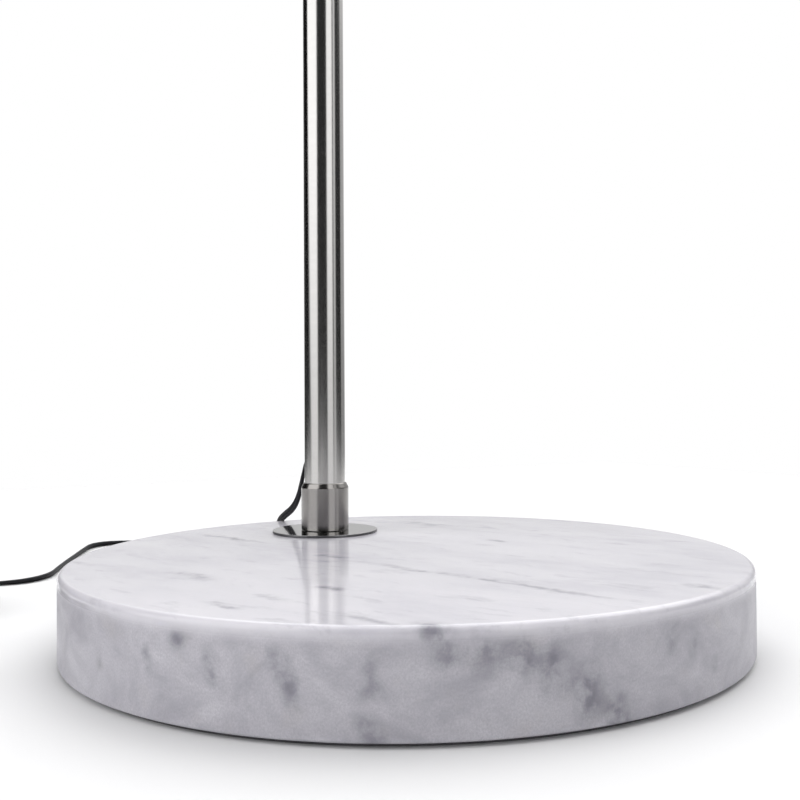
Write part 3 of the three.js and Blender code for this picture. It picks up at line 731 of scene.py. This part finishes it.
def make_arc():
    sections = ["arc_lower", "arc_middle", "arc_upper"]
    step = ARM_LENGTH / len(sections)
    for i, node in enumerate(sections):
        tube = swept_tube(node + "_tube", i * step + GAP, (i + 1) * step, ["nickel"])
        install(tube, "arc", "brushed_nickel", node)

    at_end = on_arm(ARM_LENGTH)
    profile = sleeve_profile(13.4, 14.6, -18, 0)
    ferrule = turned("arc_tip_sleeve", profile, ["shaded_ferrule_nickel"], 96, at_end, 0.4)
    install(ferrule, "arc", "brushed_nickel", "arc_end_ferrule")

    profile = [
        (0, 14), (4, 14), (4, -16), (10.2, -16), (10.2, GAP), (14.6, GAP), (14.6, 3), (7, 8), (7, 24),
        (0, 24),
    ]
    upper = turned("swivel_fork_upper", profile, ["spun"], 96, at_end, 0.5)
    add_cheek(upper, 1)
    install(upper, "arc", "brushed_nickel", "knuckle_upper")

    profile = [(0, -16.5), (3, -16.5), (3, 8.3), (6, 8.3), (6, 10.4), (5, 11.4), (0, 11.4)]
    screw = turned("swivel_pinch_screw", profile, ["zinc"], 64, AT_PIVOT, 0.3)
    cut(screw, rod(2.4, 9.2, 14, AT_PIVOT, "zinc", 6))
    install(screw, "arc", "zinc_steel", "knuckle_screw")

    grip = knurled(8.4, -17.6, -9.0, 0.5, 32)
    profile = [
        (0, -18.3), (8, -18.3), (9, -17.3), (9, -9.3), (8, -8.3), (3.5, -8.3), (3.5, -17.2), (0, -17.2),
    ]
    knob = turned("tilt_knob_grip", profile, ["spun"], 256, lambda p: AT_PIVOT(grip(p)), 0.3)
    install(knob, "tilt_knob", "brushed_nickel", "tilt_knob")


# ---- the head


def smooth_line(points, steps):
    """Extra points on a soft curve through the given ones."""
    line = extended(points)
    out = []
    for a, b, c, d in zip(line, line[1:], line[2:], line[3:]):
        for k in range(steps):
            s = k / steps
            out.append(0.5 * (2 * b + (c - a) * s + (2 * a - 5 * b + 4 * c - d) * s * s
                              + (3 * b - a - 3 * c + d) * s ** 3))
    out.append(line[-2])
    return [(max(0.0, x), y) for x, y in out]


def make_head():
    place = shifted(PIVOT.x, 0, PIVOT.z)
    stem_profile = [(0, -18), (5.4, -18), (5.4, -31), (7.5, -31), (7.5, -7), (0, -7)]
    lower = turned("swivel_fork_lower", stem_profile, ["spun"], 96, place, 0.4)
    add_cheek(lower, -1)
    install(lower, "head", "brushed_nickel", "knuckle_lower")

    profile = [
        (21.5, -84), (23, -84), (23, -81.5), (22.6, -81), (23, -80.5), (23, -37.5), (21.8, -35), (19, -34),
        (5.4, -34), (5.4, -36), (19.2, -36), (21.5, -38.6),
    ]
    cup = turned("socket_cover", profile, ["spun"], 128, place, 0.5)
    install(cup, "head", "brushed_nickel", "socket_cup")

    profile = [(14.9, -98), (19.4, -98), (19.4, -95)]
    for k in range(6):
        z = -94.5 + 8 * k
        profile += [(18.8, z), (18.8, z + 1), (19.4, z + 1.6), (19.4, z + 7)]
    profile += [(19.4, -45), (17.4, -41), (5.4, -41), (5.4, -47), (14.9, -47)]
    holder = turned("lamp_socket", profile, ["plastic"], 96, place, 0.3)
    install(holder, "head", "black_plastic", "lampholder")

    make_shade(place)
    make_bulb(place)


def make_shade(place):
    """A spun dome: brushed outside, white enamel inside, with a rolled rim."""
    rim = -225
    bead = 1.5
    hole = math.acos(20.2 / SHADE_RADIUS)
    rise = [0.02 + (hole - 0.02) * k / 72 for k in range(73)]

    def dome(inset, angles):
        radius, height = SHADE_RADIUS - inset, SHADE_HEIGHT - inset
        return [(radius * math.cos(a), rim + height * math.sin(a)) for a in angles]

    roll = [
        (148.5 + bead * math.cos(a), rim + bead + bead * math.sin(a))
        for a in [math.radians(d) for d in (160, 190, 220, 250, 280, 310, 340, 370)]
    ]
    profile = dome(0, rise) + dome(SHADE_WALL, reversed(rise)) + roll

    def side_of(a, b):
        x, z = 0.5 * (a[0] + b[0]), 0.5 * (a[1] + b[1]) - rim
        middle = 0.5 * SHADE_WALL
        within = math.hypot(x / (SHADE_RADIUS - middle), z / (SHADE_HEIGHT - middle)) < 1
        return int(within and z > bead)

    shade = turned("shade", profile, ["spun", "enamel"], 192, place, 0.0, side_of)
    install(shade, "head", "shade_metal", "dome_shade")

    grip = knurled(24.4, -92, -87.2, 0.7, 36)
    profile = [(20, -92.4), (25, -92.4), (25, -87), (20, -87)]
    ring = turned("shade_ring", profile, ["plastic"], 216, lambda p: place(grip(p)), 0.4)
    install(ring, "head", "black_plastic", "retaining_ring")


def make_bulb(place):
    thread = knurled(12, -84.5, -61, 0.5, 1, pitch=3.6)
    wall = [(13.1, -86 + 26 * k / 52) for k in range(53)]
    profile = [(0, -86)] + wall + [(9, -57.5), (4.5, -56.5), (4.5, -53.4), (3.6, -53), (0, -53)]
    cap = turned("bulb_screw_cap", profile, ["zinc"], 64, lambda p: place(thread(p)), 0.2)
    install(cap, "head", "zinc_steel", "bulb_cap", flat=False)

    outer = [
        (0, -172), (12, -170), (23.6, -161.6), (29.6, -147), (29.6, -134), (24.6, -119.5), (14.8, -101),
    ]
    inner = [
        (12, -95), (13.2, -101.6), (23, -120.2), (28, -134.4), (28, -146.6), (22.4, -160.4),
        (11.4, -168.4), (0, -170.4),
    ]
    profile = smooth_line(outer, 8) + [(13.4, -95), (13.4, -86.3), (12, -86.3)] + smooth_line(inner, 8)
    glass = turned("bulb_globe", profile, ["opal"], 96, place, 0.0)
    install(glass, "head", "opal_glass", "bulb_glass")


# ---- the cord

CORD_START = (-0.1180, 0, 0.0922)  # just inside the grommet
LEAD_ROUTE = [
    (-0.1188, 0, 0.0922), (-0.1238, 0, 0.0912), (-0.1284, 0, 0.0884), (-0.1326, 0, 0.0838),
    (-0.1362, 0, 0.0778), (-0.1396, 0, 0.0710), (-0.1432, 0, 0.0640), (-0.1484, 0, 0.0578),
    (-0.1560, 0, 0.0526), (-0.1660, 0, 0.0482), (-0.1756, 0.0004, 0.0436), (-0.1842, 0.0018, 0.0366),
    (-0.1918, 0.0044, 0.0276), (-0.2000, 0.0080, 0.0180), (-0.2104, 0.0114, 0.0094),
    (-0.2250, 0.0154, 0.0034), (-0.2460, 0.0206, 0.0014), (-0.2820, 0.0276, 0.0013),
    (-0.3240, 0.0310, 0.0013), (-0.3660, 0.0270, 0.0013), (-0.4010, 0.0136, 0.0013),
    (-0.4242, -0.0090, 0.0013), (-0.4342, -0.0368, 0.0013), (-0.4324, -0.0564, 0.0013),
    (-0.4208, -0.0708, 0.0013), (-0.3984, -0.0820, 0.0013), (-0.3646, -0.0964, 0.0013),
    (-0.3340, -0.1096, 0.0013), (-0.3080, -0.1202, 0.0013), (-0.2924, -0.1269, 0.0013),
    (-0.2804, -0.1372, 0.0013), (-0.2752, -0.1496, 0.0013), (-0.2768, -0.1620, 0.0013),
    (-0.2810, -0.1756, 0.0013), (-0.2814, -0.1890, 0.0017), (-0.2750, -0.2012, 0.0028),
    (-0.2644, -0.2100, 0.0044), (-0.2514, -0.2140, 0.0060),
]
TAIL_ROUTE = [(-0.1666, -0.2140, 0.0060), (-0.1580, -0.2140, 0.0052), (-0.1495, -0.2140, 0.0042),
              (-0.1426, -0.2140, 0.0038)]
PLUG_LEAD_ROUTE = [(-0.0886, -0.2186, 0.0046), (-0.0816, -0.2212, 0.0056), (-0.0684, -0.2260, 0.0069)]


def blend(a, b, start, end, t):
    """The point at t on the line that is at a at start and at b at end."""
    return a * ((end - t) / (end - start)) + b * ((t - start) / (end - start))


def catmull_rom(points, spacing):
    """A smooth centripetal curve through the points, as evenly spaced points along it."""
    line = extended(points)
    dense = []
    for p0, p1, p2, p3 in zip(line, line[1:], line[2:], line[3:]):
        t1 = (p1 - p0).length ** 0.5
        t2 = t1 + (p2 - p1).length ** 0.5
        t3 = t2 + (p3 - p2).length ** 0.5
        parts = max(4, round((p2 - p1).length / (0.25 * spacing)))
        for k in range(parts):
            t = t1 + (t2 - t1) * k / parts
            a1, a2, a3 = blend(p0, p1, 0, t1, t), blend(p1, p2, t1, t2, t), blend(p2, p3, t2, t3, t)
            b1, b2 = blend(a1, a2, 0, t2, t), blend(a2, a3, t1, t3, t)
            dense.append(blend(b1, b2, t1, t2, t))
    dense.append(line[-2])
    runs = [0.0]
    for a, b in zip(dense, dense[1:]):
        runs.append(runs[-1] + (b - a).length)
    count = max(2, round(runs[-1] / spacing))
    marks = [runs[-1] * k / count for k in range(count + 1)]
    return [Vector(p) for p in zip(*(np.interp(marks, runs, [p[i] for p in dense]) for i in range(3)))]


def ease(s):
    s = min(1.0, max(0.0, s))
    return s * s * (3 - 2 * s)


def coil_points():
    """Six flat turns, two side by side on each of three layers, wound clockwise from the pole's side.

    Each change of radius or layer has its own stretch, earlier in each next turn, so no turns meet.
    """
    outer, inner, layer, low = 0.0294, 0.0244, 0.0027, 0.00175
    turns = [(outer, 0), (inner, 0), (inner, 1), (outer, 1), (outer, 2), (inner, 2)]
    points = []
    per_turn = 60
    first = 4
    for k in range(first, COIL_TURNS * per_turn - first + 1):
        turn = min(k // per_turn, COIL_TURNS - 1)
        share = k / per_turn - turn
        radius, level = turns[turn]
        if turn + 1 < COIL_TURNS:
            next_radius, next_level = turns[turn + 1]
            start = 0.82 - 0.15 * turn
            rise = ease((share - start) / 0.09)
            move = ease((share - start - 0.05) / 0.11)
            radius += (next_radius - radius) * move
            level += (next_level - level) * rise
        angle = 0.5 * math.pi - 2 * math.pi * k / per_turn
        x = COIL_CENTRE[0] * MM + radius * math.cos(angle)
        y = COIL_CENTRE[1] * MM + radius * math.sin(angle)
        points.append((x, y, low + layer * level))
    return points


CORD_CLEARANCE = 0.1  # between the floor and the cord's underside


def cord_section():
    """The outline of two round cores side by side with a thin web between them."""
    core = 0.5 * CORD_THICKNESS
    web = 0.6
    right = [math.radians(a) for a in np.linspace(-128, 128, 9)]
    points = [(core + core * math.cos(a), core * math.sin(a)) for a in right] + [(0.0, web)]
    points += [(-core - core * math.cos(a), core * math.sin(a)) for a in reversed(right)] + [(0.0, -web)]
    return [(x * MM, y * MM) for x, y in points]


def lay_angle(run):
    """How far the flat cord leans from lying flat, at a distance in metres from where it leaves the pole.

    On the floor it lies flat at first, then stands half on its edge where it bends behind the base.
    """
    places = [0.0, 0.018, 0.060, 0.100, 0.155, 0.375, 0.425, 0.560, 0.630]
    angles = [125, 125, 70, 62, 0, 0, 62, 62, 0]
    return math.radians(float(np.interp(run, places, angles)))


def make_cord():
    cx = COIL_CENTRE[0] * MM
    cross = [(cx + 0.0090, -0.2171, 0.0096), (cx + 0.0164, -0.2174, 0.0098), (cx + 0.0225, -0.2179, 0.0082)]
    in_switch = [(SWITCH_CENTRE[0] * MM + x, SWITCH_CENTRE[1] * MM, 0.0060) for x in (-0.0210, 0.0, 0.0210)]
    anchors = [CORD_START, *LEAD_ROUTE, *in_switch, *TAIL_ROUTE, *coil_points(), *cross, *PLUG_LEAD_ROUTE]
    path = catmull_rom(anchors, 0.002)
    section = cord_section()
    up = Vector((0, 0, 1))
    rings, run = [], 0.0
    for i, point in enumerate(path):
        ahead = (path[min(i + 1, len(path) - 1)] - path[max(i - 1, 0)]).normalized()
        if i:
            run += (point - path[i - 1]).length
        side = up.cross(ahead).normalized()
        top = ahead.cross(side)
        lean = lay_angle(run)
        rest_height = (0.5 * CORD_THICKNESS * (1 + math.sin(lean)) + CORD_CLEARANCE) * MM
        point = point + up * max(0.0, rest_height - point.z)
        wide = side * math.cos(lean) + top * math.sin(lean)
        thin = ahead.cross(wide)
        rings.append([(point + wide * x + thin * y) / MM for x, y in section])
    flex = lofted("mains_cord", rings, ["flex"], False, 60)
    install(flex, "stand", "black_flex", "cord_lead", "cord_tail", "cord_plug_lead", "cord_coil", flat=False)


# ---- foot switch, tie and plug


def stadium(length, width, corner, count=96):
    """Points of a rectangle with round corners, as many on each corner, so that rings of any size match."""
    out = []
    x, y = length / 2 - corner, width / 2 - corner
    for cx, cy, start in ((x, y, 0), (-x, y, 90), (-x, -y, 180), (x, -y, 270)):
        for k in range(count // 4):
            a = math.radians(start + 90 * k / (count // 4 - 1))
            out.append((cx + corner * math.cos(a), cy + corner * math.sin(a)))
    return out


def make_foot_switch():
    sx, sy = SWITCH_CENTRE
    plastic = ["plastic"]

    def ring(length, width, corner, z):
        return [(sx + x, sy + y, z) for x, y in stadium(length, width, corner)]

    def cord_channel():
        ends = [[(sx + x, sy + y, 6 + z) for y, z in stadium(5.8, 3.4, 1.6, 32)] for x in (-46, 46)]
        return lofted("tool", ends, plastic, False)

    tray = lofted("switch_tray", [
        ring(80, 42, 20, 0), ring(83, 45, 21.5, 0.5), ring(84, 46, 22, 1.5), ring(84, 46, 22, 5.6),
        ring(83.4, 45.4, 21.7, 6), ring(79.6, 41.6, 19.8, 6), ring(79, 41, 19.5, 5.6),
        ring(79, 41, 19.5, 2.5),
    ], plastic, False)
    cut(tray, cord_channel())
    install(tray, "stand", "black_plastic", "switch_base")

    def hole(radius, z):
        return [(sx + radius * math.cos(a), sy + radius * math.sin(a), z) for a in hole_angles]

    flat = stadium(74, 38, 18)
    hole_angles = [math.atan2(y, x) for x, y in flat]
    crown = []
    for k in range(9):
        a = math.radians(90 * k / 8)
        inset = 1 - math.cos(a)
        crown.append(ring(84 - 14 * inset, 46 - 12 * inset, 22 - 6 * inset, 14.5 + 6.5 * math.sin(a)))
    cover = lofted("switch_lid", [
        ring(79, 41, 19.5, 6.3), ring(83.4, 45.4, 21.7, 6.3), ring(84, 46, 22, 6.8), *crown,
        hole(16.5, 22), hole(13.5, 22), hole(12.9, 21.6), hole(12.9, 19.5), ring(70, 34, 17, 19.5),
        ring(77, 39, 18.6, 14),
    ], plastic, True)
    cut(cover, cord_channel())
    install(cover, "stand", "black_plastic", "switch_cover")

    profile = [
        (0, 22), (8, 22), (8, 16), (14.5, 16), (14.5, 19.2), (12.3, 19.2), (12.3, 24.1), (11.4, 25),
        (9.6, 25.3), (9.2, 24.9), (8.8, 25.3), (5, 25.45), (0, 25.5),
    ]
    button = turned("switch_push", profile, plastic, 96, shifted(sx, sy, 0), 0.3)
    install(button, "switch_button", "black_plastic", "switch_button")

    spring = make_spring(sx, sy)
    return [tray, cover, button, spring]


def make_spring(sx, sy):
    """A coil spring of round wire under the button, on the contact block."""
    turns, radius, wire = 4, 5.6, 0.5
    low, high = 12.9, 21.0
    rings = []
    steps = 48 * turns
    for i in range(steps + 1):
        share = i / steps
        angle = 2 * math.pi * turns * share
        out = Vector((math.cos(angle), math.sin(angle), 0))
        centre = Vector((sx, sy, low + (high - low) * ease(share)))
        centre += radius * out
        rings.append([
            tuple(centre + wire * (math.cos(a) * out + math.sin(a) * Vector((0, 0, 1))))
            for a in [2 * math.pi * k / 10 for k in range(10)]
        ])
    spring = lofted("switch_return_spring", rings, ["zinc"], False, 60)
    install(spring, "stand", "zinc_steel", "switch_spring", flat=False)
    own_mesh(spring)
    return spring


def make_tie():
    """A hook-and-loop strap round the coil, with its end lapped over the top."""
    cx, cy = COIL_CENTRE[0], COIL_CENTRE[1] - 27.5
    width, thick = 9.0, 0.5
    side, bottom, inner_lap, outer_lap = 7.95, 0.3, 9.9, 10.55
    bend = 2.6
    line = [(-4.0, inner_lap)]
    corners = (
        (90, side - bend, inner_lap - bend), (0, side - bend, bottom + bend),
        (270, bend - side, bottom + bend), (180, bend - side, outer_lap - bend),
    )
    for start, x, z in corners:
        angles = [math.radians(start - turn) for turn in range(0, 91, 15)]
        line += [(x + bend * math.cos(a), z + bend * math.sin(a)) for a in angles]
    line.append((3.5, outer_lap))
    rings = []
    for i, (r, z) in enumerate(line):
        a, b = Vector(line[max(i - 1, 0)]), Vector(line[min(i + 1, len(line) - 1)])
        ahead = (b - a).normalized()
        out = Vector((-ahead.y, ahead.x))
        ring = []
        for w, t in ((-0.5, -0.5), (0.5, -0.5), (0.5, 0.5), (-0.5, 0.5)):
            spot = Vector((r, z)) + out * t * thick
            ring.append((cx + w * width, cy + spot.x, spot.y))
        rings.append(ring)
    tie = lofted("coil_tie", rings, ["felt"], False, 30)
    return install(tie, "stand", "felt", "cord_tie", flat=False)


def make_plug():
    px, py, _ = PLUG_LEAD_ROUTE[-1]
    turn = Matrix.Translation((px / MM, py / MM, PLUG_AXIS_Z)) @ Matrix.Rotation(PLUG_ANGLE, 4, "Z")

    def ring(x, wide, thick, power, count=64):
        out = []
        for k in range(count):
            a = 2 * math.pi * k / count
            c, s = math.cos(a), math.sin(a)
            y = math.copysign(abs(c) ** (2 / power), c) * wide
            z = math.copysign(abs(s) ** (2 / power), s) * thick
            out.append(tuple(turn @ Vector((x, y, z))))
        return out

    rings = [ring(0.3, 2.9, 2.4, 2.6), ring(0.6, 3.3, 2.8, 2.6)]
    for k in range(5):
        x = 1.5 + 3.2 * k
        grow = 0.28 * k
        rings += [
            ring(x, 3.5 + grow, 3.0 + grow, 2.8), ring(x + 1.9, 3.7 + grow, 3.2 + grow, 2.8),
            ring(x + 2.1, 3.0 + grow, 2.6 + grow, 2.8), ring(x + 2.9, 3.1 + grow, 2.7 + grow, 2.8),
        ]
    rings += [
        ring(17.6, 5.2, 4.6, 3.0), ring(19.6, 6.3, 5.4, 3.2), ring(22, 8.6, 5.9, 3.6),
        ring(25, 13.0, 6.3, 4.0), ring(27.6, 16.2, 6.6, 4.4), ring(30, 17.4, 6.8, 4.8),
        ring(34, 17.6, 6.8, 5.0), ring(48.6, 17.6, 6.8, 5.0), ring(49.6, 17.3, 6.5, 5.0),
        ring(50, 16.7, 5.9, 5.0),
    ]
    body = lofted("plug_shell", rings, ["plastic"], False, 40)
    install(body, "stand", "black_plastic", "plug_body")

    pins = []
    for side, node in ((1, "plug_pin_left"), (-1, "plug_pin_right")):
        def lay(p, side=side):
            return tuple(turn @ Vector((50.3 + p[2], side * 9.3 + p[0], p[1])))
        profile = [(0, 0), (2, 0), (2, 9.6), (1.85, 9.9), (1.85, 17.4), (1.3, 18.6), (0, 19)]
        pin = turned(node + "_shape", profile, ["plastic", "polished"], 48, lay, 0.15,
                     lambda a, b: int(0.5 * (a[1] + b[1]) > 9.7))
        pins.append(install(pin, "stand", "polished_steel", node))
    return [body] + pins


# ---- finishes of the hidden CAD pieces


def finish_hidden():
    """The pieces inside keep their CAD shapes, and get the finish that such a piece has."""
    looks = {
        "zinc": ["base_bolt", "spring_washer", "clamp_washer", "pole_insert", "pole_coupler", "arc_spigot",
                 "arc_coupler_lower", "arc_coupler_upper", "threaded_nipple", "lock_nut", "switch_contacts"],
        "flex": ["pole_wire", "arc_wire", "head_wire"],
        "brass": ["lampholder_shell"],
    }
    for look, nodes in looks.items():
        for slot in [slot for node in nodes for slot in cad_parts[node].material_slots]:
            slot.material = MATERIAL[look]


# ---- floor and light


def make_floor():
    half = 1100
    corners = [(-half, -half, 0), (half, -half, 0), (half, half, 0), (-half, half, 0)]
    add_mesh("floor", corners, [(0, 1, 2, 3)], ["floor"])


# The studio: where each panel or gap starts, in degrees round the lamp, and how bright it is.
PANELS = [
    (-127, 1.85), (-64, 0.03), (-8, 1.6), (24, 0.12), (31, 1.0), (43, 0.03), (84, 0.60), (122, 0.72),
    (178, 0.05),
]
BRIGHTEST = max(value for _, value in PANELS)
CEILING_TILT = (-0.36, 0.57, 0.74)
CEILING_STRENGTH = 2.8


def make_world():
    """White to the camera. Round the lamp stand soft panels and gaps, which the metal mirrors as bands."""
    world = bpy.data.worlds.new("studio")
    scene.world = world
    world.use_nodes = True
    t = Tree(world.node_tree, world)
    direction = t.node("TexCoord").outputs["Generated"]
    x, y, z = t.node("SeparateXYZ", Vector=direction).outputs
    heading = t.math("MULTIPLY", t.math("ARCTAN2", y, x), 180 / math.pi)
    first = PANELS[0][0]
    share = t.math("DIVIDE", t.math("MODULO", t.math("ADD", heading, 360.0 - first), 360.0), 360.0)
    edge = 0.003
    stops = [(0.0, PANELS[0][1])]
    for (_, before), (start, value) in zip(PANELS, PANELS[1:]):
        place = (start - first) / 360
        stops += [(place - edge, before), (place + edge, value)]
    stops += [(1 - 2 * edge, PANELS[-1][1]), (1.0, PANELS[0][1])]
    panel_light = t.ramp(share, [(place, value / BRIGHTEST) for place, value in stops])
    slanted = t.math("MULTIPLY_ADD", z, 0.17, share)
    ends = t.ramp(slanted, [(0.031, 0.03), (0.066, 1.0), (0.95, 1.0), (0.97, 0.03)])
    near_floor = t.ramp(z, [(0.0, 0.58), (0.12, 0.84), (0.26, 1.0)])
    for dimming in (ends, near_floor):
        panel_light = t.mix(1.0, panel_light, dimming, "MULTIPLY")

    def soft_step(value, low, high):
        settings = {"interpolation_type": "SMOOTHSTEP"}
        return t.node("MapRange", settings, Value=value, From_Min=low, From_Max=high).outputs[0]

    def lit(colour, strength):
        return t.node("Background", Color=colour, Strength=strength).outputs[0]

    def either(factor, first_light, second_light):
        made = t.node("MixShader", Fac=factor)
        t.set(made, "1", first_light)
        t.set(made, "2", second_light)
        return made.outputs[0]

    lean = t.vector_math("DOT_PRODUCT", direction, _1=CEILING_TILT)["Value"]
    overhead = t.math("MULTIPLY", soft_step(lean, 0.60, 0.90), soft_step(z, 0.34, 0.62))
    white = (1.0, 1.0, 1.0)
    studio = either(overhead, lit(panel_light, BRIGHTEST), lit(white, CEILING_STRENGTH))
    by_camera = t.node("LightPath").outputs["Is Camera Ray"]
    t.node("OutputWorld", Surface=either(by_camera, studio, lit(white, 1.0)))


def make_side_light():
    """A soft light low on the left, which brightens that end of the marble's side."""
    data = bpy.data.lights.new("side_light", "AREA")
    data.shape = "SQUARE"
    data.size = 0.9
    data.energy = 4.0
    light = bpy.data.objects.new("side_light", data)
    scene.collection.objects.link(light)
    place = Vector((-0.62, -1.50, 0.62))
    light.matrix_world = Matrix.Translation(place) @ (-place).to_track_quat("-Z", "Y").to_matrix().to_4x4()
    light.visible_glossy = False
    light.visible_camera = False


# ---- the whole lamp

make_base()
make_pole()
make_arc()
make_head()
switch_pieces = make_foot_switch()
tie = make_tie()
plug_pieces = make_plug()
make_cord()
finish_hidden()
make_floor()
make_world()
make_side_light()
